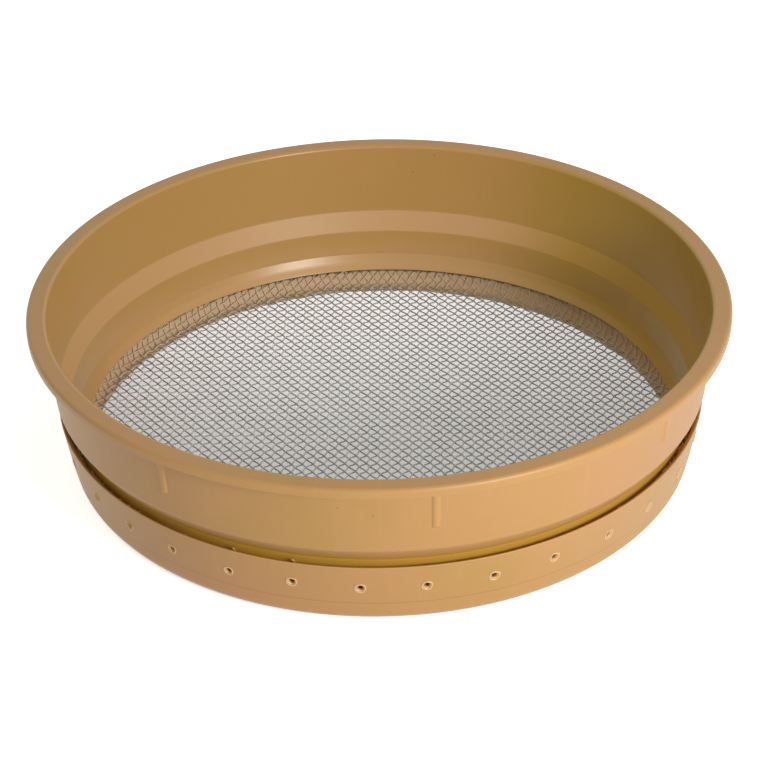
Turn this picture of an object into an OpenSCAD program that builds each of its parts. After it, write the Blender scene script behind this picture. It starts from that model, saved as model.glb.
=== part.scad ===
// Round sand sieve: a moulded hoop, a clamp band under it, and woven wire cloth held between them.
// Millimetres, +Z up. The origin is the centre of the bottom edge, on the surface it stands on.

/* [Overall] */
// Outside diameter over the rim
rim_d = 400; // [320:5:500]
// Height from the bottom edge to the top of the rim
sieve_h = 97.5; // [90:0.5:120]

/* [Hoop] */
// Width of the flat rim, from its outer edge to the mouth
rim_w = 11.2; // [8:0.1:14]
// Height of the rim's outer face
rim_t = 5.5; // [4:0.1:8]
// Thickness of the upper wall
hoop_wall = 2.7; // [2:0.1:3.6]
// Draft of the upper wall, in degrees
wall_draft = 4.6; // [3:0.1:6]
// Drop of the first ledge inside
ledge1_drop = 11.6; // [8:0.2:14]
// Reach of the first ledge towards the middle
ledge1_in = 5.6; // [4.6:0.1:7]
// Height of the neck wall between the ledges
neck_h = 15.9; // [12:0.1:18]
// Draft of the neck wall, in degrees
neck_draft = 7.2; // [5:0.1:9]
// Thickness of the neck wall, which is the collar for the band
collar_wall = 2.2; // [2:0.1:3]
// Drop of the second ledge, which ends the hoop
ledge2_drop = 9; // [6:0.2:10]
// Reach of the second ledge towards the middle
ledge2_in = 4.9; // [3:0.1:6]
// Height of the hoop's lower end above the bottom of the sieve
hoop_foot = 15.8; // [14.6:0.1:20]
// Height over which the outside turns under, down to the collar
under_h = 9.4; // [7:0.1:11]
// Radius of the corner where it starts to turn under
under_r = 6; // [3:0.1:8]
// Height of the collar that shows between the turned-under wall and the band
collar_show = 2.3; // [1:0.1:3]

/* [Grip ribs] */
// Number of short upright ribs under the rim
rib_count = 8; // [4:1:16]
// Length of a rib
rib_len = 27; // [8:0.5:32]
// Width of a rib
rib_w = 3.4; // [1.5:0.1:5]
// How far a rib stands out of the wall
rib_out = 0.9; // [0.5:0.1:2]
// Turn of the first rib from the front, in degrees
rib_turn = 8.1; // [0:0.1:20]

/* [Clamp band] */
// Thickness of the band
band_wall = 2.4; // [2:0.1:3]
// Draft of the band, in degrees
band_draft = 9; // [7:0.1:11]
// Depth of the band's top edge below the foot of the first ledge
band_drop = 1; // [0.1:0.1:2]
// Height of the faint step line above the bottom
step_z = 14; // [11:0.2:18]
// Depth of the step
step_in = 0.3; // [0.1:0.1:0.6]
// Outside radius of the turned-in bottom edge
turn_r = 9; // [7:0.2:10.4]
// Width of the flat that the sieve stands on
foot_w = 1; // [0.6:0.1:3]

/* [Punched holes] */
// Number of punched holes round the band
hole_count = 32; // [16:1:48]
// Diameter of a punched hole
hole_d = 3; // [2:0.1:4]
// Depth of the holes below the top of the band
hole_drop = 14.7; // [13:0.1:18]
// Outside diameter of the raised ring round a hole
burr_d = 6.3; // [5:0.1:8]
// Height of the raised ring
burr_out = 0.4; // [0.2:0.1:1]
// Turn of the first hole from the front, in degrees
hole_turn = 7.3; // [0:0.1:11]

/* [Wire cloth] */
// Diameter of a wire
wire_d = 0.9; // [0.5:0.05:1]
// Distance from one wire to the next, across the wires
wire_pitch = 4.9; // [3:0.01:8]
// Angle of the warp wires from the X axis, turned towards +Y
warp_angle = 52; // [30:0.5:60]
// Angle of the weft wires from the X axis, turned towards -Y
weft_angle = 54; // [30:0.5:60]
// Depth of the cloth's cut edge below the top of the band
edge_drop = 4; // [2:0.5:12]

/* [Fits] */
// Clearance on each side of the cloth between collar and band
fit_gap = 0.2; // [0.1:0.05:0.3]
// Clearance under each layer of wires
lay_gap = 0.03; // [0.02:0.01:0.05]

/* [Hidden] */
$fn = 180;

plastic = [0.78, 0.58, 0.36];
warp_steel = [0.62, 0.63, 0.65];
weft_steel = [0.70, 0.71, 0.73];

// Overrun of every cut past the face that it goes through
cut_over = 1;
// How far a rib's root is buried in the wall
rib_root = 1;
// Radius of the rim's two top corners
rim_round = 2.2;
// Radius of the fillet along the lip of the second ledge
lip_round = 0.8;
// Bevel inside the band's top lip
lip_bevel = 1.8;
// Points in a drawn corner
corner_steps = 6;
// Slips of the hand-punched holes along the band, as shares of the way from hole to hole
slip_shares = [
    -0.04, -0.04, -0.07, -0.03, -0.06, 0, 0.03, -0.02,
    0.04, 0, -0.05, 0.02, 0.05, -0.03, 0, 0.04,
    -0.02, -0.04, 0.03, 0.01, -0.03, 0.05, 0.02, -0.01,
    0.06, 0.1, 0.14, 0.08, 0.01, 0.01, 0, 0
];
// Slips of the same holes up the band, as shares of a hole's diameter
rise_shares = [
    0.17, 0.03, 0.3, -0.2, -0.4, -0.5, -0.2, 0.1,
    0.2, -0.1, 0, 0.3, 0.1, -0.3, -0.1, 0.2,
    0, -0.2, 0.1, 0.3, -0.1, 0, 0.2, -0.2,
    -0.1, -0.1, -0.17, -0.07, 0.07, -0.23, 0.3, 0.03
];

wall_slope = tan(wall_draft);
neck_slope = tan(neck_draft);
band_slope = tan(band_draft);

// Heights of the hoop's features, from its lower end up
neck_foot = hoop_foot + ledge2_drop;
neck_top = neck_foot + neck_h;
ledge1_top = neck_top + ledge1_drop;

// Radii of the hoop's inside, from the mouth down
rim_r = rim_d / 2;
mouth_r = rim_r - rim_w;
ledge1_r = mouth_r - wall_slope * (sieve_h - ledge1_top);
neck_top_r = ledge1_r - ledge1_in;
neck_foot_r = neck_top_r - neck_slope * neck_h;
hoop_foot_r = neck_foot_r - ledge2_in;

// Outside of the hoop: the drafted wall and the collar under it
function wall_r(z) = mouth_r + hoop_wall - wall_slope * (sieve_h - z);
function collar_r(z) = neck_foot_r + collar_wall + neck_slope * (z - neck_foot);

// The cloth is two wires thick where it is clamped between collar and band
cloth_t = 2 * wire_d;
band_grip_r = collar_r(neck_foot) + cloth_t + 2 * fit_gap;
function band_in_r(z) = band_grip_r + band_slope * (z - neck_foot);
function band_out_r(z) = band_in_r(z) + band_wall;
band_h = neck_top - band_drop;
hole_z = band_h - hole_drop;

// The hoop's outside leans in, side by side with the first ledge, and ends at the collar
under_z = band_h + collar_show;
under_top = under_z + under_h;
under_lean = atan((wall_r(under_top) - collar_r(under_z)) / under_h);
// Way from the corner to the middle of its rounding, for normals one unit long
under_way = under_r / (1 + cos(under_lean - wall_draft));

// The band's bottom edge turns in over a quarter circle and ends in a flat foot
turn_centre_r = band_out_r(turn_r) - step_in - turn_r;
foot_in_r = turn_centre_r - foot_w;
inner_turn_r = turn_r - band_wall;

// The weft lies on the band's turned-in edge, and the warp lies on the weft
weft_z = band_wall + lay_gap + wire_d / 2;
warp_z = weft_z + wire_d + lay_gap;
wire_reach = turn_centre_r - fit_gap;
wire_side_count = floor((wire_reach - wire_d) / wire_pitch);

// The turned-up edge of the cloth follows the band's inside
edge_turn_out = inner_turn_r - fit_gap;
edge_turn_in = edge_turn_out - cloth_t;
edge_top = band_h - edge_drop;
edge_top_r = band_in_r(edge_top) - fit_gap;

function arc(centre_r, centre_z, radius, start, stop) = [
    for (i = [0:corner_steps])
        let (a = start + (stop - start) * i / corner_steps)
        [centre_r + radius * cos(a), centre_z + radius * sin(a)]
];

function hoop_outline() = concat(
    arc(mouth_r + rim_round, sieve_h - rim_round, rim_round, 180, 90),
    arc(rim_r - rim_round, sieve_h - rim_round, rim_round, 90, 0),
    [
        [rim_r, sieve_h - rim_t],
        [wall_r(sieve_h - rim_t), sieve_h - rim_t]
    ],
    arc(
        wall_r(under_top) - under_way * (cos(wall_draft) + cos(under_lean)),
        under_top + under_way * (sin(wall_draft) + sin(under_lean)),
        under_r, -wall_draft, -under_lean
    ),
    [
        [collar_r(under_z), under_z],
        [collar_r(neck_foot), neck_foot],
        [hoop_foot_r + collar_wall, hoop_foot]
    ],
    arc(hoop_foot_r + lip_round, hoop_foot + lip_round, lip_round, -90, -180),
    [
        [neck_foot_r, neck_foot],
        [neck_top_r, neck_top],
        [ledge1_r, ledge1_top]
    ]
);

function band_outline() = concat(
    [
        [band_in_r(band_h - lip_bevel) + lip_bevel, band_h],
        [band_in_r(band_h - lip_bevel), band_h - lip_bevel]
    ],
    arc(turn_centre_r, turn_r, inner_turn_r, 0, -90),
    [
        [foot_in_r, band_wall],
        [foot_in_r, 0]
    ],
    arc(turn_centre_r, turn_r, turn_r, -90, 0),
    [
        [band_out_r(step_z) - step_in, step_z],
        [band_out_r(step_z), step_z + step_in],
        [band_out_r(band_h), band_h]
    ]
);

function edge_outline() = concat(
    arc(turn_centre_r, turn_r, edge_turn_out, -90, 0),
    [
        [edge_top_r, edge_top],
        [edge_top_r - cloth_t, edge_top]
    ],
    arc(turn_centre_r, turn_r, edge_turn_in, 0, -90)
);

// A child turned from the front towards +X about the axis
module turned(angle) {
    rotate([0, 0, angle - 90])
        children();
}

// One rib, drawn upright and leaning with the drafted wall
module rib() {
    top_z = sieve_h - rim_t;
    root_r = wall_r(top_z - rib_len) - rib_root;
    translate([root_r, 0, top_z])
        rotate([0, -wall_draft, 0])
            translate([0, -rib_w / 2, -rib_len])
                cube([rib_root + rib_out, rib_w, rib_len]);
}

module hoop() {
    color(plastic)
        union() {
            rotate_extrude() polygon(hoop_outline());
            for (i = [0:rib_count - 1])
                turned(rib_turn + i * 360 / rib_count) rib();
        }
}

// Round bars through the band at the holes' places, square to the drafted wall
module punches(diameter, from, to) {
    for (i = [0:hole_count - 1]) {
        z = hole_z + hole_d * rise_shares[i % len(rise_shares)];
        turned(hole_turn + (i + slip_shares[i % len(slip_shares)]) * 360 / hole_count)
            translate([band_out_r(z), 0, z])
                rotate([0, 90 + band_draft, 0])
                    translate([0, 0, from])
                        cylinder(d = diameter, h = to - from);
    }
}

module clamp_band() {
    color(plastic)
        difference() {
            union() {
                rotate_extrude() polygon(band_outline());
                punches(burr_d, -band_wall / 2, burr_out);
            }
            punches(hole_d, -band_wall - cut_over, burr_out + cut_over);
        }
}

// Parallel wires across the hoop, each as long as the circle is wide at its place
module wire_layer(turn, z) {
    for (i = [-wire_side_count:wire_side_count]) {
        half_len = sqrt(pow(wire_reach, 2) - pow(i * wire_pitch, 2));
        rotate([0, 0, turn])
            translate([-half_len, i * wire_pitch, z])
                rotate([0, 90, 0])
                    cylinder(d = wire_d, h = 2 * half_len, $fn = 24);
    }
}

module warp_wires() {
    color(warp_steel) wire_layer(warp_angle, warp_z);
}

module weft_wires() {
    color(weft_steel) wire_layer(-weft_angle, weft_z);
}

module cloth_edge() {
    color(weft_steel)
        rotate_extrude() polygon(edge_outline());
}

hoop();
clamp_band();
warp_wires();
weft_wires();
cloth_edge();
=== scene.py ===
from math import atan, cos, pi, radians, sin, tan

import bpy
import numpy as np
from mathutils import Matrix, Vector


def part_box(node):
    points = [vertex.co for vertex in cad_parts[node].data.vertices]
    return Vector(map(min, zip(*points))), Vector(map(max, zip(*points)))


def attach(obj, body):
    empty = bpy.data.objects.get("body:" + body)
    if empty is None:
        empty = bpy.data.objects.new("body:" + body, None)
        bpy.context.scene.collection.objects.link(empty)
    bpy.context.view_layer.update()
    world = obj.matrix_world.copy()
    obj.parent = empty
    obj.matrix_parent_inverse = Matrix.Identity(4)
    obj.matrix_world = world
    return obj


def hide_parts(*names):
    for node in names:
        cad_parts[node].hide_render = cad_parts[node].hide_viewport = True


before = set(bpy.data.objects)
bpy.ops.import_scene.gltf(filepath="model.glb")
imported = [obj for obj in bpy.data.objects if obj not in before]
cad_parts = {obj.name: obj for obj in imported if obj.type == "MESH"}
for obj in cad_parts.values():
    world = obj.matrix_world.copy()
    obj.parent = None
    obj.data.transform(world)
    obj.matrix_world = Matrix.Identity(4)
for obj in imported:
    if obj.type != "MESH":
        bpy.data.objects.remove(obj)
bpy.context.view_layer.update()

mm = 0.001


# The camera
# It stands 1.1 m before the middle of the sieve and 0.7 m above the floor, and looks down into
# the bowl. Its place and lens were fitted to the outlines of the rim, ledges and band.
eye_back = 1092.8 * mm
eye_up = 717.4 * mm
look_down = radians(31.908)
look_roll = radians(-1.17)
sensor_w = 36.0
focal_pixels = 2200.0
photo_w = 761

camera_data = bpy.data.cameras.new("camera")
camera_data.sensor_width = sensor_w
camera_data.lens = focal_pixels * sensor_w / photo_w
camera_data.clip_start = 50 * mm
camera = bpy.data.objects.new("camera", camera_data)
bpy.context.scene.collection.objects.link(camera)
camera.matrix_world = (
    Matrix.Translation((0, -eye_back, eye_up))
    @ Matrix.Rotation(pi / 2 - look_down, 4, "X")
    @ Matrix.Rotation(look_roll, 4, "Z")
)
bpy.context.scene.camera = camera


# The moulded hoop
# One injection moulding of ochre polypropylene: a flat rim, a drafted wall with short grip ribs
# outside, two ledges inside, and the collar that carries the clamp band and the wire cloth.
hoop_low, hoop_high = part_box("hoop")
rim_r = hoop_high.x
sieve_h = hoop_high.z
hoop_foot = hoop_low.z
rim_w = 11.2 * mm
rim_t = 5.5 * mm
hoop_wall = 2.7 * mm
wall_slope = tan(radians(4.6))
ledge1_drop = 11.6 * mm
ledge1_in = 5.6 * mm
neck_h = 15.9 * mm
neck_slope = tan(radians(7.2))
collar_wall = 2.2 * mm
ledge2_drop = 9 * mm
ledge2_in = 4.9 * mm
under_h = 9.4 * mm
collar_show = 2.3 * mm

rim_round = 2.2 * mm
edge_round = 0.5 * mm
rim_fillet = 0.9 * mm
collar_fillet = 0.6 * mm
ledge_round = 1.1 * mm
lip_round = 0.5 * mm
under_round = 6 * mm
cove_round = 20 * mm
cove_deep = 0.5 * mm
lip_hang = 0.7 * mm
sharp_bend = 0.5 * mm

neck_foot = hoop_foot + ledge2_drop
neck_top = neck_foot + neck_h
ledge1_top = neck_top + ledge1_drop
mouth_r = rim_r - rim_w
ledge1_r = mouth_r - wall_slope * (sieve_h - ledge1_top)
neck_top_r = ledge1_r - ledge1_in
neck_foot_r = neck_top_r - neck_slope * neck_h
hoop_foot_r = neck_foot_r - ledge2_in
rim_under = sieve_h - rim_t
band_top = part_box("clamp_band")[1].z
under_z = band_top + collar_show
under_top = under_z + under_h


def wall_r(z):
    """Outside radius of the drafted wall at a height: it shrinks by the draft's tangent."""
    return mouth_r + hoop_wall - wall_slope * (sieve_h - z)


def collar_r(z):
    """Outside radius of the collar under the wall: it leans a little more than the wall does."""
    return neck_foot_r + collar_wall + neck_slope * (z - neck_foot)


def rounded(corners, radii, steps=6, guard=0.35 * mm):
    """An open outline with its inner corners rounded.

    Each corner becomes an arc that touches both of its sides, radius times the cotangent of
    half the corner's angle away from it. A guard point stands a little before and after each
    arc, so that the flat faces beside it stay flat in the shading. The two ends are kept.
    """
    corners = np.array(corners, float)
    pieces = [corners[:1]]
    for before, corner, after, radius in zip(corners, corners[1:], corners[2:], radii):
        back = (before - corner) / np.linalg.norm(before - corner)
        ahead = (after - corner) / np.linalg.norm(after - corner)
        half = np.arccos(np.clip(back @ ahead, -1, 1)) / 2
        reach = radius / tan(half)
        middle = (back + ahead) / np.linalg.norm(back + ahead) * radius / sin(half) + corner
        first = corner + back * reach - middle
        last = corner + ahead * reach - middle
        turn = pi - 2 * half
        share = np.linspace(0, 1, steps + 1)[:, None]
        arc = (np.sin((1 - share) * turn) * first + np.sin(share * turn) * last) / sin(turn)
        guards = [corner + back * (reach + guard), corner + ahead * (reach + guard)]
        pieces += [guards[:1], middle + arc, guards[1:]]
    return np.vstack([*pieces, corners[-1:]])


def rubbed_rows(outline):
    """How far hands have rubbed each row of a closed outline: most where it bends outwards most.

    The sine of the turn at a row, over the mean length of its two sides, is how sharply the
    outline bends there. A bend with the radius sharp_bend, or a sharper one, counts in full.
    """
    before = outline - np.roll(outline, 1, 0)
    after = np.roll(outline, -1, 0) - outline
    length = np.hypot(*before.T) + np.hypot(*after.T)
    turn = before[:, 0] * after[:, 1] - before[:, 1] * after[:, 0]
    turn /= np.hypot(*before.T) * np.hypot(*after.T)
    return np.clip(turn / (length / 2) * sharp_bend, 0, 1)


def mesh_piece(name, points, quads, caps=(), marks=()):
    """A smooth-shaded mesh object at the origin from arrays of points, quads and round caps.

    Marks are pairs of a name and a value for each point, for the piece's material to read.
    """
    counts = np.concatenate([np.full(len(quads), 4)] + [np.full(len(c), c.shape[1]) for c in caps])
    corners = np.concatenate([quads.ravel()] + [c.ravel() for c in caps])
    mesh = bpy.data.meshes.new(name)
    mesh.vertices.add(len(points))
    mesh.vertices.foreach_set("co", np.ascontiguousarray(points, np.float32).ravel())
    mesh.loops.add(len(corners))
    mesh.loops.foreach_set("vertex_index", corners.astype(np.int32))
    mesh.polygons.add(len(counts))
    mesh.polygons.foreach_set("loop_start", (np.cumsum(counts) - counts).astype(np.int32))
    mesh.update(calc_edges=True)
    mesh.validate()
    mesh.polygons.foreach_set("use_smooth", np.ones(len(counts), bool))
    for mark_name, values in marks:
        mark = mesh.attributes.new(mark_name, "FLOAT", "POINT")
        mark.data.foreach_set("value", np.ascontiguousarray(values, np.float32).ravel())
    piece = bpy.data.objects.new(name, mesh)
    bpy.context.scene.collection.objects.link(piece)
    return piece


def ring_quads(columns, rows):
    """Quads of a grid that closes both ways: column by column, row after row."""
    column, row = np.meshgrid(np.arange(columns), np.arange(rows), indexing="ij")
    right = (column + 1) % columns
    above = (row + 1) % rows
    corners = [column * rows + row, right * rows + row, right * rows + above, column * rows + above]
    return np.stack(corners, -1).reshape(-1, 4)


def eased(x):
    """The smooth step: 0 below 0, 1 above 1, and 3 x squared less 2 x cubed between."""
    x = np.clip(x, 0, 1)
    return x * x * (3 - 2 * x)


rib_count = 8
rib_turn = radians(8.1)
rib_angles = rib_turn - pi / 2 + np.arange(rib_count) * 2 * pi / rib_count
rib_out = 0.9 * mm
rib_half_root = 2.3 * mm
rib_bulge = 2.4
rib_foot = rim_under - 27 * mm
rib_end = 1.2 * mm
rib_end_steps = np.linspace(-0.2, 1.2, 8)
rib_rim_gap = 1 * mm
rib_rim_run = 7 * mm
# The ribs are painted paler by this share: partly wear, partly a painted highlight.
rib_rubbed_and_lit = 0.5
rib_columns = np.array([0, 0.4, 0.8, 1.0, 1.2, 1.4, 1.6, 1.8, 2.0, 2.2, 2.4, 2.6, 3.0]) * mm
rib_clear = 3.6 * mm
hoop_columns = 480
hair = 0.1 * mm
touch = 0.01 * mm

mid_neck = ((neck_top_r + neck_foot_r) / 2, (neck_top + neck_foot) / 2)
ledge2_lean = atan(ledge2_in / ledge2_drop)
cove = (
    (neck_foot_r + hoop_foot_r) / 2 + cove_deep * cos(ledge2_lean),
    (neck_foot + hoop_foot) / 2 - cove_deep * sin(ledge2_lean),
)
rib_foot_z = rib_foot + rib_end_steps * rib_end
rib_foot_rows = np.stack([wall_r(rib_foot_z), rib_foot_z], -1)
hoop_lower = rounded(
    [
        mid_neck,
        (neck_foot_r, neck_foot),
        cove,
        (hoop_foot_r - lip_hang / 2, hoop_foot - lip_hang),
        (hoop_foot_r + collar_wall, hoop_foot - lip_hang),
        (collar_r(neck_foot), neck_foot),
        (collar_r(under_z), under_z),
        (wall_r(under_top), under_top),
        rib_foot_rows[0],
    ],
    [ledge_round, cove_round, lip_round, edge_round, ledge_round, collar_fillet, under_round],
)
hoop_upper = rounded(
    [
        rib_foot_rows[-1],
        (wall_r(rim_under), rim_under),
        (rim_r, rim_under),
        (rim_r, sieve_h),
        (mouth_r, sieve_h),
        (ledge1_r, ledge1_top),
        (neck_top_r, neck_top),
        mid_neck,
    ],
    [rim_fillet, edge_round, rim_round, rim_round, ledge_round, ledge_round],
)
hoop_outline = np.vstack([hoop_lower, rib_foot_rows[1:-1], hoop_upper[:-1]])


def off_rib(angle):
    """Angle from each of the angles given to the middle line of the rib nearest to it."""
    off = np.angle(np.exp(1j * (angle[:, None] - rib_angles)))
    return np.abs(off).min(1)


def hoop_points():
    """The outline turned about the axis, with each rib a swelling of the outer wall.

    A rib's height is 1 less a power of the share of the way from its middle line to its root,
    times an eased step up from its foot, and it fades out under the rim. Also returns how far
    each point is rubbed, by its row's bend or by how far it stands on a rib, where the paler rib
    is partly wear and partly a painted highlight, and which points are on the inside.
    """
    r, z = hoop_outline.T
    on_wall = (r > wall_r(z) - hair) & (z > rib_foot) & (z < rim_under + hair)
    fade = np.clip((rim_r - rib_rim_gap - r) / rib_rim_run, 0, 1)
    weight = on_wall * eased((z - rib_foot) / rib_end) * fade

    across = np.concatenate([-rib_columns[:0:-1], rib_columns]) / wall_r(rib_foot)
    near = (rib_angles[:, None] + across).ravel()
    even = np.arange(hoop_columns) * 2 * pi / hoop_columns
    even = even[off_rib(even) > rib_clear / rim_r]
    angle = np.sort(np.concatenate([near, even]) % (2 * pi))
    off = off_rib(angle) * wall_r(rib_foot)
    swell = (1 - np.clip(off / rib_half_root, 0, 1) ** rib_bulge)[:, None] * weight
    radius = r + swell * rib_out
    x = radius * np.cos(angle)[:, None]
    y = radius * np.sin(angle)[:, None]
    rubbed = np.maximum(rubbed_rows(hoop_outline), rib_rubbed_and_lit * swell)

    row = np.arange(len(z))
    on_rim = (z > sieve_h - touch) & (r < mouth_r + rim_w / 2)
    on_lip = (z < hoop_foot + touch) & (r < hoop_foot_r + collar_wall / 2)
    first_inside = np.flatnonzero(on_rim)[-1]
    last_inside = np.flatnonzero(on_lip)[-1]
    inside = np.broadcast_to((row > first_inside) | (row <= last_inside), x.shape)
    return np.stack([x, y, np.broadcast_to(z, x.shape)], -1), rubbed, inside


class Tone:
    """A value, colour or vector in a material's nodes; arithmetic on values adds Math nodes."""

    def __init__(self, tree, socket=None):
        self.tree = tree
        self.socket = socket

    def node(self, kind, settings, sockets, out=0):
        """Adds a node, sets its settings, then fills its sockets by name or number."""
        made = self.tree.nodes.new(kind)
        for name, value in settings.items():
            setattr(made, name, value)
        for name, value in sockets.items():
            if isinstance(value, Tone):
                self.tree.links.new(value.socket, made.inputs[name])
            else:
                made.inputs[name].default_value = value
        return Tone(self.tree, made.outputs[out])

    def also(self, out):
        """Another output of the node that this value comes from."""
        return Tone(self.tree, self.socket.node.outputs[out])

    def math(self, operation, *values):
        """A Math node of that operation on the values given."""
        return self.node("ShaderNodeMath", {"operation": operation}, dict(enumerate(values)))

    def __add__(self, other):
        return self.math("ADD", self, other)

    def __radd__(self, other):
        return self.math("ADD", other, self)

    def __sub__(self, other):
        return self.math("SUBTRACT", self, other)

    def __rsub__(self, other):
        return self.math("SUBTRACT", other, self)

    def __mul__(self, other):
        return self.math("MULTIPLY", self, other)

    def __rmul__(self, other):
        return self.math("MULTIPLY", other, self)

    def step(self, low, high):
        """0 below low, 1 above high, and eased between, also where low is above high."""
        settings = {"interpolation_type": "SMOOTHSTEP"}
        sockets = {"Value": self, "From Min": low, "From Max": high}
        return self.node("ShaderNodeMapRange", settings, sockets)

    def between(self, low, high, low_run, high_run):
        """1 between low and high, eased in above low and out below high over the runs given."""
        return self.step(low, low + low_run) * self.step(high, high - high_run)

    def noise(self, per_metre, detail=2.0, rough=0.5):
        """Fractal noise of 0 to 1 at this vector, with so many features per metre."""
        sockets = {"Vector": self, "Scale": per_metre, "Detail": detail, "Roughness": rough}
        return self.node("ShaderNodeTexNoise", {}, sockets)

    def near(self, point, radius):
        """1 within a radius of a point of this vector, fading out over another half of it."""
        away = self.node("ShaderNodeVectorMath", {"operation": "DISTANCE"}, {0: self, 1: point}, out=1)
        return away.step(1.5 * radius, radius)

    def blend(self, low, high):
        """The colour low where this value is 0 and high where it is 1."""
        return self.node("ShaderNodeMix", {"data_type": "RGBA"}, {0: self, 6: low, 7: high}, out=2)


def new_material(name):
    """An empty node material with its Principled shader joined to the output."""
    material = bpy.data.materials.new(name)
    material.use_nodes = True
    tree = material.node_tree
    tree.nodes.clear()
    shader = tree.nodes.new("ShaderNodeBsdfPrincipled")
    output = tree.nodes.new("ShaderNodeOutputMaterial")
    tree.links.new(shader.outputs[0], output.inputs[0])
    return material, shader, Tone(tree)


ochre = (0.545, 0.293, 0.098, 1)
ochre_rose = (0.575, 0.291, 0.112, 1)
ochre_olive = (0.505, 0.284, 0.078, 1)
ochre_rubbed = (0.635, 0.375, 0.160, 1)
# The hoop's inside is painted a paler ochre than its outside: painted light that brightens the inside.
ochre_inside_painted_light = (0.600, 0.360, 0.090, 1)
# Paler ochre painted on the lit side of the hoop's inside: painted light and highlight.
ochre_painted_light = (0.680, 0.410, 0.210, 1)
ochre_torn = (0.800, 0.560, 0.320, 1)
# Saturated ochre painted in the gap over the band: a painted shade colour.
ochre_groove_shade = (0.590, 0.350, 0.030, 1)
# Darker, more olive ochre painted on the shaded side of the hoop's inside: painted shade.
ochre_painted_shade = (0.470, 0.295, 0.020, 1)
speck_brown = (0.20, 0.10, 0.04, 1)
# Dark brown painted just under the lowest ledge's lip: a painted shadow.
painted_shadow_brown = (0.15, 0.09, 0.035, 1)

# A share is how much of its colour a thing takes at most. A pair is where a step starts and ends.
olive_tint = (0.32, 0.50)
rose_tint = (0.52, 0.72)
flow_stretch = 0.5
flow_lines = (0.50, 0.80)
flow_share = 0.14
speck_patches = (0.50, 0.56)
cell_speck = (0.016, 0.010)
cell_share = 0.7
spot_r = 0.45 * mm
spot_share = 0.7
scuff_patches = (0.60, 0.74)
scuff_deep = 0.3
scuff_share = 0.3
rubbed_share = 0.45
# The painted shadow under the lip: how it eases in and out, and its share.
lip_shadow_foot = 0.7 * mm
lip_shadow_head = 1 * mm
lip_shadow_share = 0.85
dust_line = (0.5 * mm, 0.15 * mm)
dust_line_share = 0.55
# How far the painted shade colour in the gap over the band reaches, and its share.
groove_shade_rise = 4 * mm
groove_shade_sink = 1 * mm
groove_shade_share = 0.7
# The hoop's inside is painted paler on the lit side and darker on the shaded side: painted light and
# painted shade.
lit_side_x = (135 * mm, 60 * mm)
shade_side_share = 0.6
ledge1_span_run = 1 * mm
below_span_run = 14 * mm
lower_painted_light_share = 0.35
ledge1_painted_light_share = 0.6
plastic_rough = 0.41
fine_rough = 0.08
scuff_rough = 0.25
scour_rough = 0.19
grain_bump = 0.35
fine_bump = 0.5
flow_bump = 0.25
bump_height = 0.5 * mm
bump_strength = 0.10
plastic_ior = 1.49
plastic_gloss = 0.70
plastic_gloss_tint = (1.0, 0.90, 0.84, 1)


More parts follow.
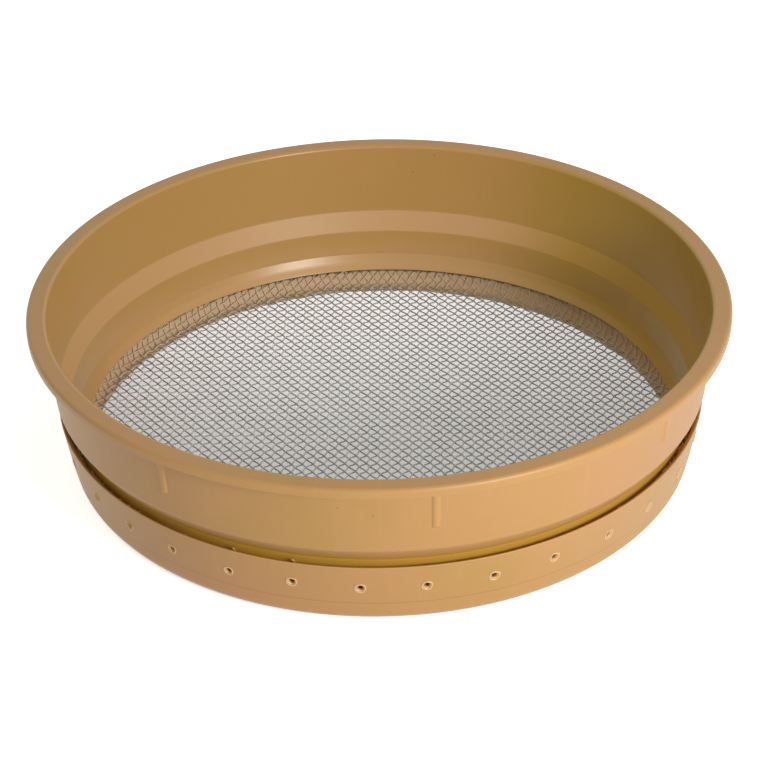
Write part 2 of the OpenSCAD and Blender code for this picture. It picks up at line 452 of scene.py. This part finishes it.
def moulded_plastic(
    name, shift, inner, inner_share, inside_rough, spots=(), painted_ledge=None, line_z=None, lip_shadow_span=None
):
    """Satin ochre polypropylene: slow shifts of tint, faint flow lines, specks and fine grain.

    The inside takes its share of the colour inner and its own roughness: on the band that colour
    is sand dust, and on the hoop it is a paler ochre, painted light that brightens the inside.
    Scuffs and edges are rubbed paler, and on the hoop's ribs the mark rubbed is partly wear and
    partly a painted highlight. Where the mark rubbed goes on from 1 to 2 the plastic is torn white.
    Spots are points with a small speck each. Between the two heights of damp the inside is
    painted dark, a painted shadow under the lowest ledge's lip, and a line of dust lies at the
    height line_z. Between the two heights of scoured the inside is rougher. There, and a little
    less below them, the side away from +X, which the lamp lights, is painted paler as painted
    light and highlight, and the side at +X is painted darker and more olive as painted shade.
    The outside of such a piece is painted a more saturated ochre in the gap over the band: a
    painted shade colour.
    """
    material, shader, tone = new_material(name)
    place = tone.node("ShaderNodeTexCoord", {}, {}, out=3)
    moved = tone.node("ShaderNodeVectorMath", {"operation": "ADD"}, {0: place, 1: shift})
    x = tone.node("ShaderNodeSeparateXYZ", {}, {0: place})
    y = x.also(1)
    z = x.also(2)
    angle = y.math("ARCTAN2", y, x)
    around = tone.node("ShaderNodeCombineXYZ", {}, {0: angle, 1: z * flow_stretch, 2: shift[0]})
    rubbed = tone.node("ShaderNodeAttribute", {"attribute_name": "rubbed"}, {}, out=2)
    inside = tone.node("ShaderNodeAttribute", {"attribute_name": "inside"}, {}, out=2)

    slow = moved.noise(per_metre=9.0, detail=3.0)
    flow = around.noise(per_metre=34.0, detail=3.0, rough=0.6)
    fine = moved.noise(per_metre=260.0, detail=4.0, rough=0.6)
    grain = moved.noise(per_metre=1100.0)
    body = slow.step(*olive_tint).blend(ochre_olive, ochre)
    body = slow.step(*rose_tint).blend(body, ochre_rose)
    body = (flow.step(*flow_lines) * flow_share).blend(body, ochre_rubbed)
    # On the hoop the colour inner is painted light that brightens the inside; on the band it is dust.
    body = (inside * inner_share).blend(body, inner)

    cells = tone.node("ShaderNodeTexVoronoi", {}, {"Vector": moved, "Scale": 38.0})
    patches = moved.noise(per_metre=21.0, detail=1.0)
    specks = cells.step(*cell_speck) * patches.step(*speck_patches)
    for point in spots:
        specks = specks.math("MAXIMUM", specks, place.near(point, spot_r) * spot_share)
    body = (specks * cell_share).blend(body, speck_brown)
    scuffs = moved.noise(per_metre=70.0, detail=6.0, rough=0.75)
    scuffs = scuffs.step(*scuff_patches) * scuff_deep
    body = (rubbed * rubbed_share + scuffs * scuff_share).blend(body, ochre_rubbed)
    body = rubbed.step(1.0, 2.0).blend(body, ochre_torn)
    # A painted shadow just under the lip of the lowest ledge.
    if lip_shadow_span is not None:
        lip_shadow_mask = inside * z.between(*lip_shadow_span, lip_shadow_foot, lip_shadow_head)
        body = (lip_shadow_mask * lip_shadow_share).blend(body, painted_shadow_brown)
    if line_z is not None:
        off_line = z - line_z
        line = off_line.math("ABSOLUTE", off_line).step(*dust_line)
        body = (line * dust_line_share).blend(body, speck_brown)

    rough = plastic_rough + inside * inside_rough + fine * fine_rough + scuffs * scuff_rough
    if painted_ledge is not None:
        # Painted shade colour on the outside in the gap over the band.
        groove_shade_mask = (1 - inside) * z.step(under_z + groove_shade_rise, under_z - groove_shade_sink)
        body = (groove_shade_mask * groove_shade_share).blend(body, ochre_groove_shade)
        # Painted light on the lit side of the inside, away from +X, and painted shade on the shaded
        # side at +X.
        lit_side_mask = x.step(*lit_side_x)
        body = (inside * (1 - lit_side_mask) * shade_side_share).blend(body, ochre_painted_shade)
        under_ledge1 = z.step(painted_ledge[0], painted_ledge[0] - below_span_run)
        body = (inside * lit_side_mask * under_ledge1 * lower_painted_light_share).blend(body, ochre_painted_light)
        on_ledge1 = inside * z.between(*painted_ledge, ledge1_span_run, ledge1_span_run)
        rough = rough + on_ledge1 * scour_rough
        body = (on_ledge1 * lit_side_mask * ledge1_painted_light_share).blend(body, ochre_painted_light)
    height = grain * grain_bump + fine * fine_bump + flow * flow_bump
    bump_sockets = {"Strength": bump_strength, "Distance": bump_height, "Height": height}
    bump = tone.node("ShaderNodeBump", {}, bump_sockets)
    tone.tree.links.new(body.socket, shader.inputs["Base Color"])
    tone.tree.links.new(rough.socket, shader.inputs["Roughness"])
    tone.tree.links.new(bump.socket, shader.inputs["Normal"])
    shader.inputs["IOR"].default_value = plastic_ior
    shader.inputs["Specular IOR Level"].default_value = plastic_gloss
    shader.inputs["Specular Tint"].default_value = plastic_gloss_tint
    return material


def on_hoop(turn, radius, z):
    """Points at turns from the front towards +X, in degrees, at radii and heights."""
    turn = np.radians(turn)
    return np.stack([radius * np.sin(turn), -radius * np.cos(turn), z], -1)


hoop_specks = [
    on_hoop(175.7, 180.5 * mm, 42.7 * mm),
    on_hoop(116.9, 185.6 * mm, 57.6 * mm),
    on_hoop(172.8, 187.3 * mm, 79.6 * mm),
    on_hoop(168.5, 188.3 * mm, 92.0 * mm),
    on_hoop(-6.9, wall_r(79.6 * mm), 79.6 * mm),
    on_hoop(-1.6, wall_r(74.9 * mm), 74.9 * mm),
]
hoop_shift = (0, 0, 0)
# The share of that paler ochre on the hoop's inside: painted light.
hoop_inside_light_share = 0.5
hoop_inside_rough = -0.13
# Heights of the upper ledge, where the inside is rougher and, on the lit side, painted paler as painted
# light.
ledge1_span_z = (neck_top - ledge1_span_run, ledge1_top + ledge1_span_run)

hoop_grid, hoop_rubbed_and_lit, hoop_inside = hoop_points()
hoop_marks = [("rubbed", hoop_rubbed_and_lit), ("inside", hoop_inside)]
hoop_quads = ring_quads(*hoop_grid.shape[:2])
hoop = mesh_piece("moulded_hoop", hoop_grid.reshape(-1, 3), hoop_quads, marks=hoop_marks)
hoop_plastic = moulded_plastic(
    "hoop_plastic",
    hoop_shift,
    ochre_inside_painted_light,
    hoop_inside_light_share,
    hoop_inside_rough,
    spots=hoop_specks,
    painted_ledge=ledge1_span_z,
)
hoop.data.materials.append(hoop_plastic)
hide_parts("hoop")
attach(hoop, "root")


# The clamp band
# A second ochre moulding, pressed up over the collar to clamp the cloth. Its lower edge turns in
# under the cloth, and 32 holes are punched through it by hand, each with a raised ring of burr.
band_wall = 2.4 * mm
band_slope = tan(radians(9))
cloth_t = 1.8 * mm
fit_gap = 0.2 * mm
step_z = 14 * mm
step_in = 0.3 * mm
turn_r = 9 * mm
foot_w = 1 * mm
lip_bevel = 1.8 * mm
hole_count = 32
hole_d = 3.3 * mm
hole_turn = radians(7.3)
hole_z = band_top - 14.7 * mm
hole_spread = 0.05
ring_uneven = 0.03
ring_phase = 6.0
ring_phase_spread = 0.3
burr_torn = 14
punch_torn = 1.7

# Each hole's slip round the band, as a share of the spacing, and its rise, as a share of the
# hole's width. Those seen in the photo were measured there, and the rest are made up.
slip_shares = [
    -0.04, -0.04, -0.07, -0.03, -0.06, 0, 0.03, -0.02,
    0.04, 0, -0.05, 0.02, 0.05, -0.03, 0, 0.04,
    -0.02, -0.04, 0.03, 0.01, -0.03, 0.05, 0.02, -0.01,
    0.06, 0.1, 0.14, 0.08, 0.01, 0.01, 0, 0,
]
rise_shares = [
    0.17, 0.03, 0.3, -0.2, -0.4, -0.5, -0.2, 0.1,
    0.2, -0.1, 0, 0.3, 0.1, -0.3, -0.1, 0.2,
    0, -0.2, 0.1, 0.3, -0.1, 0, 0.2, -0.2,
    -0.1, -0.1, -0.17, -0.07, 0.07, -0.23, 0.3, 0.03,
]


def band_in_r(z):
    """Inside radius of the band: the collar, the cloth and a clearance on each side of it."""
    return collar_r(neck_foot) + cloth_t + 2 * fit_gap + band_slope * (z - neck_foot)


def band_out_r(z):
    """Outside radius of the band."""
    return band_in_r(z) + band_wall


turn_centre_r = band_out_r(turn_r) - step_in - turn_r
foot_in_r = turn_centre_r - foot_w
inner_turn_r = turn_r - band_wall
block_half_h = 5 * mm
block_half_w = 4 * mm
block_steps = 8
gap_steps = 12
block_rows = hole_z + np.linspace(-block_half_h, block_half_h, block_steps + 1)


def inside_r(z):
    """Radius of the band's inner face: a straight line from its lip to its turned-in foot."""
    top = band_top - lip_bevel
    low_r = turn_centre_r + inner_turn_r
    return low_r + (band_in_r(top) - low_r) * (z - turn_r) / (top - turn_r)


def band_outline():
    """The closed outline, which starts with the rows that hold the holes outside.

    Also returns the first of the rows that hold them inside.
    """
    outer = np.stack([band_out_r(block_rows), block_rows], -1)
    inner = np.stack([inside_r(block_rows), block_rows], -1)[::-1]
    top = band_top - lip_bevel
    over = [
        outer[-1],
        (band_out_r(band_top), band_top),
        (band_in_r(top) + lip_bevel, band_top),
        (band_in_r(top), top),
        inner[0],
    ]
    under = [
        inner[-1],
        (inside_r(band_wall), band_wall),
        (foot_in_r, band_wall),
        (foot_in_r, 0),
        (band_out_r(0) - step_in, 0),
        (band_out_r(step_z) - step_in, step_z),
        (band_out_r(step_z + step_in), step_z + step_in),
        outer[0],
    ]
    lip_radii = [0.35 * mm, 0.2 * mm, 0.3 * mm]
    lip = rounded(over, lip_radii, guard=0.05 * mm)[1:-1]
    foot_radii = [inner_turn_r, 0.35 * mm, 0.25 * mm, turn_r, 0.12 * mm, 0.12 * mm]
    foot = rounded(under, foot_radii, steps=8, guard=0.1 * mm)[1:-1]
    return np.vstack([outer, lip, inner, foot]), len(outer) + len(lip)


def band_columns():
    """Angles of the grid's columns: those across a hole's block, then an even stretch on.

    Each row of the array is one hole's. Also returns the angle of each hole's middle.
    """
    slip = np.array(slip_shares) + np.arange(hole_count)
    centre = hole_turn - pi / 2 + slip * 2 * pi / hole_count
    across = np.linspace(-block_half_w, block_half_w, block_steps + 1) / band_out_r(hole_z)
    gap_end = np.roll(centre, -1) + across[0]
    gap_end[-1] += 2 * pi
    gap_start = centre + across[-1]
    share = np.linspace(0, 1, gap_steps + 1)[1:-1]
    gaps = gap_start[:, None] + (gap_end - gap_start)[:, None] * share
    return np.hstack([centre[:, None] + across, gaps]), centre


# Rings of a hole from the band's inner face out to its outer face: radius as a share of the
# hole's, and depth as a share of the wall, where 1 is the outer face and more stands proud.
# The punched wall is torn between two depths, and the inside ends half way through the wall.
ring_reach = np.array(
    [1.5, 1.12, 1.0, 0.98, 0.95, 1.0, 1.15, 1.34, 1.52, 1.66, 1.80, 1.92, 2.02, 2.12]
)
ring_depth = np.array(
    [0, 0, 0.06, 0.4, 0.72, 0.84, 0.94, 1.04, 1.13, 1.17, 1.14, 1.06, 1.0, 0.99]
)
punched_wall = (0.3, 0.97)
inside_fall = 2


def punched_band():
    """Points, quads and marks of the band: a grid closed both ways, with holes in it.

    Each block of the grid is left out inside and outside. In its place rings run from the
    block's edge on the inner face, through the wall, to the block's edge on the outer face,
    each ring at its own share of the way between the two faces. A ring is uneven by a sum of
    three sine waves of its angle, and each hole is a little larger or smaller than the next.
    """
    outline, inner_row = band_outline()
    angles, centre = band_columns()
    rows = len(outline)
    per_hole = angles.shape[1]
    columns = angles.size
    angle = angles.ravel()[:, None]
    r, z = outline.T
    grid = np.stack([r * np.cos(angle), r * np.sin(angle), z + 0 * angle], -1).reshape(-1, 3)
    quads = ring_quads(columns, rows)
    column = quads[:, 0] // rows % per_hole
    row = quads[:, 0] % rows
    in_rows = (row < block_steps) | ((row >= inner_row) & (row < inner_row + block_steps))
    quads = quads[~((column < block_steps) & in_rows)]

    side = np.arange(block_steps)
    full = np.full(block_steps, block_steps)
    edge_col = np.concatenate([side, full, full - side, 0 * side])
    edge_row = np.concatenate([0 * side, side, full, full - side])
    hole = np.arange(hole_count)[:, None]
    first = (hole * per_hole + edge_col) * rows
    outer_edge = first + edge_row
    inner_edge = first + inner_row + block_steps - edge_row

    rise = np.array(rise_shares)[:, None] * hole_d
    run_a = np.linspace(-block_half_w, block_half_w, block_steps + 1)[edge_col]
    run_b = np.linspace(-block_half_h, block_half_h, block_steps + 1)[edge_row]
    way = np.arctan2(run_b - rise, run_a + 0 * rise)
    draw = np.random.default_rng(5)
    lobes = np.arange(2, 5)[None, :, None]
    phase = ring_phase + ring_phase_spread * draw.standard_normal((hole_count, 3))[:, :, None]
    uneven = 1 + ring_uneven * np.sin(lobes * way[:, None, :] + phase).sum(1)
    size = 1 + hole_spread * draw.standard_normal((hole_count, 1))
    reach = ring_reach[None, :, None] * hole_d / 2 * (uneven * size)[:, None, :]
    a = reach * np.cos(way)[:, None, :]
    height = hole_z + reach * np.sin(way)[:, None, :] + rise[:, :, None]
    depth = np.broadcast_to(ring_depth[None, :, None], a.shape)
    turn = centre[:, None, None] + a / band_out_r(hole_z)
    radius = inside_r(height) + (band_out_r(height) - inside_r(height)) * depth
    rings = np.stack([radius * np.cos(turn), radius * np.sin(turn), height], -1)

    each = ring_reach.size * 4 * block_steps
    ring_index = len(grid) + np.arange(hole_count * each).reshape(hole_count, ring_reach.size, -1)
    strip = np.concatenate([inner_edge[:, None], ring_index, outer_edge[:, None]], 1)
    ahead = np.roll(strip, -1, axis=2)
    corners = [strip[:, :-1], strip[:, 1:], ahead[:, 1:], ahead[:, :-1]]
    hole_quads = np.stack(corners, -1).reshape(-1, 4)

    grid_rubbed = np.broadcast_to(rubbed_rows(outline), (columns, rows)).ravel()
    in_wall = (depth > punched_wall[0]) & (depth < punched_wall[1])
    ring_rubbed = (np.clip((depth - 1) * burr_torn, 0, 2) + punch_torn * in_wall).ravel()
    row = np.arange(rows)
    last_inner = np.flatnonzero(r < foot_in_r + 2 * hair)[-1]
    inner_rows = (row >= inner_row) & (row <= last_inner)
    grid_inside = np.broadcast_to(inner_rows, (columns, rows)).ravel()
    ring_inside = np.clip(1 - depth * inside_fall, 0, 1).ravel()
    marks = [
        ("rubbed", np.concatenate([grid_rubbed, ring_rubbed])),
        ("inside", np.concatenate([grid_inside, ring_inside])),
    ]
    return np.vstack([grid, rings.reshape(-1, 3)]), np.vstack([quads, hole_quads]), marks


sand_dust = (0.780, 0.590, 0.400, 1)
dust_share = 0.9
dust_rough = 0.35
step_line = step_z + step_in / 2
# Heights of the painted shadow just under the lowest ledge's lip.
lip_shadow_z = (10.3 * mm, 16 * mm)
band_shift = (3.1, 1.7, 0.4)

band_points, band_quads, band_marks = punched_band()
band = mesh_piece("punched_clamp_band", band_points, band_quads, marks=band_marks)
band_plastic = moulded_plastic(
    "band_plastic", band_shift, sand_dust, dust_share, dust_rough, line_z=step_line, lip_shadow_span=lip_shadow_z
)
band.data.materials.append(band_plastic)
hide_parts("clamp_band")
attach(band, "root")


# The wire cloth
# Plain weave of galvanised steel wire. Each wire is crimped over and under the ones it crosses,
# and the round sheet is pressed into a pan, its edge turned up between collar and band.
wire_d = 0.9 * mm
wire_pitch = 4.9 * mm
warp_turn = radians(52)
weft_turn = radians(-54)
warp_crimp = 0.7 * wire_d
weft_crimp = wire_d - warp_crimp
wire_play = 0.015 * mm
cloth_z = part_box("weft_wires")[0].z + wire_d / 2 + warp_crimp + wire_play
pan_r = turn_centre_r
pan_round = turn_r - cloth_z
edge_slope = 0.16
edge_lean = atan(edge_slope)
edge_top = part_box("cloth_edge")[1].z
wire_sides = 8
steps_per_cross = 4
small_cross = 0.05
slant_room = 1.3
drift_far = 0.35 * mm
drift_squash = 0.6
drift_wave_x = 31
drift_wave_y = 27
bend_run = pan_round * (pi / 2 - edge_lean)
bend_z = turn_r - pan_round * cos(pi / 2 - edge_lean)
edge_run = (edge_top - bend_z) / cos(edge_lean)
cloth_reach = pan_r + bend_run + edge_run
edge_foot_r = pan_r + pan_round * sin(pi / 2 - edge_lean)


def pressed(x, y, lift):
    """Places points of the flat sheet on the pan.

    A point keeps its direction from the middle. Its distance from the middle runs along the
    floor, then round the bend, then up the leaning edge. Lift stands square to the sheet.
    """
    rho = np.hypot(x, y)
    turn = np.clip((rho - pan_r) / pan_round, 0, pi / 2 - edge_lean)
    up = np.maximum(rho - pan_r - bend_run, 0)
    r = np.minimum(rho, pan_r) + pan_round * np.sin(turn) + up * sin(edge_lean)
    z = cloth_z + pan_round * (1 - np.cos(turn)) + up * cos(edge_lean)
    r = r - lift * np.sin(turn)
    z = z + lift * np.cos(turn)
    scale = r / np.maximum(rho, 1e-9)
    return np.stack([x * scale, y * scale, z], -1)


def wire_line(wire, cross, turn, other_turn, crimp):
    """Middle line of wires of one layer, at places counted in crossings of the other layer.

    In the flat sheet a wire is straight and a pitch from the next. Along it, a crossing lies at
    its number, less the wire's own number times the cosine of the angle between the layers,
    times the pitch over the sine of that angle. The wire rises and falls as the cosine of pi
    times the sum of both numbers, and the other layer does the opposite. The whole sheet is
    pulled a little out of true, by the product of a long sine wave along x and one along y.
    """
    between = turn - other_turn
    along = (cross - wire * cos(between)) * wire_pitch / sin(between)
    offset = wire * wire_pitch
    x = along * cos(turn) - offset * sin(turn)
    y = along * sin(turn) + offset * cos(turn)
    drift = drift_far * np.sin(x * drift_wave_x + 1) * np.sin(y * drift_wave_y + 2)
    lift = crimp * np.cos(pi * (cross + wire))
    return x + drift, y + drift_squash * drift, lift


def round_wires(middle, along, up, wire, thickness):
    """Points, quads and caps of round wires: a ring at each middle point, square to its run.

    A run of equal numbers in wire is one wire, and each wire ends in a flat cap.
    """
    along = along / np.linalg.norm(along, axis=1, keepdims=True)
    side = np.cross(along, up)
    side /= np.linalg.norm(side, axis=1, keepdims=True)
    up = np.cross(side, along)
    turn = np.arange(wire_sides) * 2 * pi / wire_sides
    ring = np.cos(turn)[None, :, None] * side[:, None] + np.sin(turn)[None, :, None] * up[:, None]
    points = middle[:, None] + thickness / 2 * ring
    start = np.flatnonzero(wire[1:] == wire[:-1])
    index = np.arange(len(wire) * wire_sides).reshape(-1, wire_sides)
    low, high = index[start], index[start + 1]
    corners = [low, high, np.roll(high, -1, 1), np.roll(low, -1, 1)]
    quads = np.stack(corners, -1).reshape(-1, 4)
    last = np.append(wire[1:] != wire[:-1], True)
    first = np.append(True, wire[1:] != wire[:-1])
    caps = [np.vstack([index[first], index[last][:, ::-1]])]
    return points.reshape(-1, 3), quads, caps


def cloth_wires(numbers, turn, other_turn, crimp):
    """The crimped wires with these numbers in a layer, on the pressed sheet."""
    reach = int(cloth_reach / wire_pitch * slant_room)
    cross = np.arange(-reach * steps_per_cross, reach * steps_per_cross + 1) / steps_per_cross
    wire, cross = np.meshgrid(numbers, cross, indexing="ij")
    x, y, lift = wire_line(wire, cross, turn, other_turn, crimp)
    inside = np.hypot(x, y) < cloth_reach
    wire, cross = wire[inside], cross[inside]
    x, y, lift = x[inside], y[inside], lift[inside]
    ahead = pressed(*wire_line(wire, cross + small_cross, turn, other_turn, crimp))
    behind = pressed(*wire_line(wire, cross - small_cross, turn, other_turn, crimp))
    up = pressed(x, y, lift + wire_d) - pressed(x, y, lift - wire_d)
    return round_wires(pressed(x, y, lift), ahead - behind, up, wire, wire_d)


# The warp is painted brighter zinc and the weft darker zinc: painted light and painted shade for how
# the lamp falls along each layer.
warp_zinc_lit = [(0.46, 0.465, 0.48, 1), (0.62, 0.63, 0.65, 1), (0.84, 0.84, 0.85, 1)]
weft_zinc_shaded = [(0.30, 0.305, 0.315, 1), (0.41, 0.415, 0.43, 1), (0.66, 0.66, 0.67, 1)]
wire_dust = (0.80, 0.66, 0.48, 1)
dull_patches = (0.35, 0.65)
bright_flecks = (0.55, 0.75)
fleck_share = 0.6
dusty_r = (pan_r - 5 * mm, pan_r + 2 * mm)
wire_dust_share = 0.95
# Past where the cloth turns up, the wires take the painted shadow under the lip.
lip_shadow_r = (edge_foot_r - 0.6 * mm, edge_foot_r)
stained_r = (181 * mm, 182.5 * mm)
stain_share = 0.8
zinc_rough = 0.36
patch_rough = 0.2
wire_dust_rough = 0.3
zinc_metal = 0.5
fleck_height = 0.05 * mm
fleck_bump = 0.25


def galvanised_wire(name, zinc):
    """Zinc-coated steel wire: dull grey metal with patches of duller and brighter zinc.

    Zinc is the coat's dull, usual and bright colour. The warp is given brighter zinc and the weft
    darker zinc: painted light and painted shade for how the lamp falls along each layer.
    Past the flat of the pan, where the cloth turns up, sand dust has settled on the wires, and
    just under the ledge they are painted dark, a painted shadow under its lip. Ends that stick out
    past the band are stained its colour.
    """
    material, shader, tone = new_material(name)
    place = tone.node("ShaderNodeTexCoord", {}, {}, out=3)
    z = tone.node("ShaderNodeSeparateXYZ", {}, {0: place}, out=2)
    flat = tone.node("ShaderNodeVectorMath", {"operation": "MULTIPLY"}, {0: place, 1: (1, 1, 0)})
    out_r = tone.node("ShaderNodeVectorMath", {"operation": "LENGTH"}, {0: flat}, out=1)
    dusty = out_r.step(*dusty_r)
    patch = place.noise(per_metre=120.0, detail=3.0)
    fleck = place.noise(per_metre=1500.0)
    colour = patch.step(*dull_patches).blend(zinc[0], zinc[1])
    colour = (fleck.step(*bright_flecks) * fleck_share).blend(colour, zinc[2])
    colour = (dusty * wire_dust_share).blend(colour, wire_dust)
    # Painted shadow on the wires just under the lip.
    lip_shadow_mask = z.between(*lip_shadow_z, lip_shadow_foot, lip_shadow_head) * out_r.step(*lip_shadow_r)
    colour = (lip_shadow_mask * lip_shadow_share).blend(colour, painted_shadow_brown)
    colour = (out_r.step(*stained_r) * stain_share).blend(colour, ochre)
    rough = zinc_rough + patch * patch_rough + dusty * wire_dust_rough
    metal = (1 - dusty) * zinc_metal
    bump_sockets = {"Strength": fleck_bump, "Distance": fleck_height, "Height": fleck}
    bump = tone.node("ShaderNodeBump", {}, bump_sockets)
    tone.tree.links.new(colour.socket, shader.inputs["Base Color"])
    tone.tree.links.new(rough.socket, shader.inputs["Roughness"])
    tone.tree.links.new(bump.socket, shader.inputs["Normal"])
    tone.tree.links.new(metal.socket, shader.inputs["Metallic"])
    return material


warp_steel_lit = galvanised_wire("warp_wire", warp_zinc_lit)
weft_steel_shaded = galvanised_wire("weft_wire", weft_zinc_shaded)
side_count = int(cloth_reach / wire_pitch)
cloth_layers = [
    ("warp", "warp_wires", warp_turn, weft_turn, warp_crimp, warp_steel_lit),
    ("weft", "weft_wires", weft_turn, warp_turn, -weft_crimp, weft_steel_shaded),
]
for layer, node, turn, other_turn, crimp, wire_steel in cloth_layers:
    for half, numbers in (("left", np.arange(-side_count, 0)), ("right", np.arange(side_count + 1))):
        wire_piece = mesh_piece(f"woven_{layer}_{half}", *cloth_wires(numbers, turn, other_turn, crimp))
        wire_piece.data.materials.append(wire_steel)
        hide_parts(node, "cloth_edge")
        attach(wire_piece, "root")

# Four places along each loose end: the turn from the front in degrees, radius and height.
fray_turns = np.array(
    [(-25.4, -25.3, -25.2, -25.0), (-14.7, -14.7, -14.8, -15.0), (186.8, 187.0, 187.3, 187.9)]
)
fray_radii = np.array(
    [(180.8, 182.4, 183.8, 185.0), (180.8, 182.2, 183.4, 184.5), (177.3, 176.6, 175.0, 172.9)]
) * mm
fray_heights = np.array(
    [(33.5, 37.0, 39.5, 40.2), (33.5, 36.7, 39.1, 40.0), (10.2, 12.4, 13.9, 14.6)]
) * mm
fray_steps = 12
fray_up = (0.3, 0.4, 0.9)


def frayed_ends():
    """Loose wire ends: each runs through its four points by the cubic that meets them all.

    A place on the cubic is the sum of the points, each times a product over the other three:
    the way from the other to the place, over the way from the other to this point.
    """
    knots = np.array([0, 1, 2, 3]) / 3
    share = np.linspace(0, 1, fray_steps + 1)
    other = ~np.eye(4, dtype=bool)
    gaps = np.where(other, share[:, None, None] - knots[None, None, :], 1).prod(-1)
    weight = gaps / np.where(other, knots[:, None] - knots[None, :], 1).prod(-1)
    bends = on_hoop(fray_turns, fray_radii, fray_heights)
    middle = np.einsum("sk,wkc->wsc", weight, bends)
    along = np.gradient(middle, axis=1)
    wire = np.repeat(np.arange(len(bends)), len(share))
    up = np.broadcast_to(fray_up, (len(wire), 3))
    return round_wires(middle.reshape(-1, 3), along.reshape(-1, 3), up, wire, wire_d)


ends = mesh_piece("frayed_wire_ends", *frayed_ends())
ends.data.materials.append(warp_steel_lit)
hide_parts("cloth_edge")
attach(ends, "root")


# The floor and the light
# The sieve stands on a pale floor in a white room, and under the sieve the floor's glow is painted
# light and shade: dimmer at the front, brighter at the back. One soft lamp stands near, to the right
# of the camera. The room's own warm light fills the shadows, least from the left and right.
floor_half = 3.0
floor_white = (0.85, 0.88, 0.92, 1)
floor_bounce = (0.72, 0.72, 0.72, 1)
black = (0, 0, 0, 1)
white = (1, 1, 1, 1)
# Under the sieve the floor's glow is painted light and shade: dimmer at the front, brighter at the
# back.
painted_shade_front_glow = 0.26
painted_light_back_glow = 0.58
glow_near = 0.74
painted_light_turn_y = (-30 * mm, 190 * mm)
glow_foot_run = 8 * mm
glow_out_r = (200 * mm, 360 * mm)
room_warm = (1.0, 0.95, 0.77, 1)
room_side = 0.11
room_front = 0.26
room_back = 0.28
room_top = 0.26
room_ease = 0.9
key_turn = radians(33)
key_rise = radians(20)
key_far = 1.1
key_size = 0.3
key_watts = 6.2


def seen_or_mirrored(tone):
    """1 for rays from the camera or out of a gloss or clear surface, and 0 for soft light."""
    seen = tone.node("ShaderNodeLightPath", {}, {}, out="Is Camera Ray")
    mirrored = tone.math("MAXIMUM", seen.also("Is Glossy Ray"), seen.also("Is Transmission Ray"))
    return tone.math("MAXIMUM", seen, mirrored)


floor = mesh_piece(
    "floor",
    np.array([(-1, -1, 0), (1, -1, 0), (1, 1, 0), (-1, 1, 0)], float) * floor_half,
    np.array([[0, 1, 2, 3]]),
)
material, shader, tone = new_material("floor_white")
shown = seen_or_mirrored(tone)
place = tone.node("ShaderNodeTexCoord", {}, {}, out=3)
away = tone.node("ShaderNodeVectorMath", {"operation": "LENGTH"}, {0: place}, out=1)
# Painted light and shade under the sieve: less glow at the front, more at the back.
behind = tone.node("ShaderNodeSeparateXYZ", {}, {0: place}, out=1).step(*painted_light_turn_y)
under = painted_shade_front_glow + (painted_light_back_glow - painted_shade_front_glow) * behind
glow = under + (glow_near - under) * away.step(foot_in_r, foot_in_r + glow_foot_run)
glow = glow + (1 - glow_near) * away.step(*glow_out_r)
tone.tree.links.new(shown.blend(floor_bounce, floor_white).socket, shader.inputs["Base Color"])
tone.tree.links.new((shown * glow).blend(black, white).socket, shader.inputs["Emission Color"])
shader.inputs["Emission Strength"].default_value = 1.0
shader.inputs["Roughness"].default_value = 0.8
floor.data.materials.append(material)

# The room gives soft light of its own colour and strength. The camera and mirrored rays see
# plain white in its place.
world = bpy.data.worlds.new("white_room")
world.use_nodes = True
tree = world.node_tree
tree.nodes.clear()
tone = Tone(tree)
shown = seen_or_mirrored(tone)
way = tone.node("ShaderNodeTexCoord", {}, {}, out=0)
back = tone.node("ShaderNodeSeparateXYZ", {}, {0: way}, out=1)
top = back.also(2)
fill = room_side + room_front * back.step(0.0, -room_ease) + room_back * back.step(0.0, room_ease)
fill = fill + room_top * top.step(0.0, room_ease)
strength = fill + shown * (1 - fill)
room_colour = shown.blend(room_warm, white)
room = tone.node("ShaderNodeBackground", {}, {"Color": room_colour, "Strength": strength})
output = tree.nodes.new("ShaderNodeOutputWorld")
tree.links.new(room.socket, output.inputs[0])
bpy.context.scene.world = world

key_data = bpy.data.lights.new("key", "AREA")
key_data.shape = "DISK"
key_data.size = key_size
key_data.energy = key_watts
key = bpy.data.objects.new("key", key_data)
bpy.context.scene.collection.objects.link(key)
aim = Vector((0, 0, sieve_h / 2))
to_key = Vector((sin(key_turn) * cos(key_rise), -cos(key_turn) * cos(key_rise), sin(key_rise)))
key.location = aim + to_key * key_far
key.rotation_mode = "QUATERNION"
key.rotation_quaternion = to_key.to_track_quat("Z", "Y")

bpy.context.scene.view_settings.view_transform = "Standard"
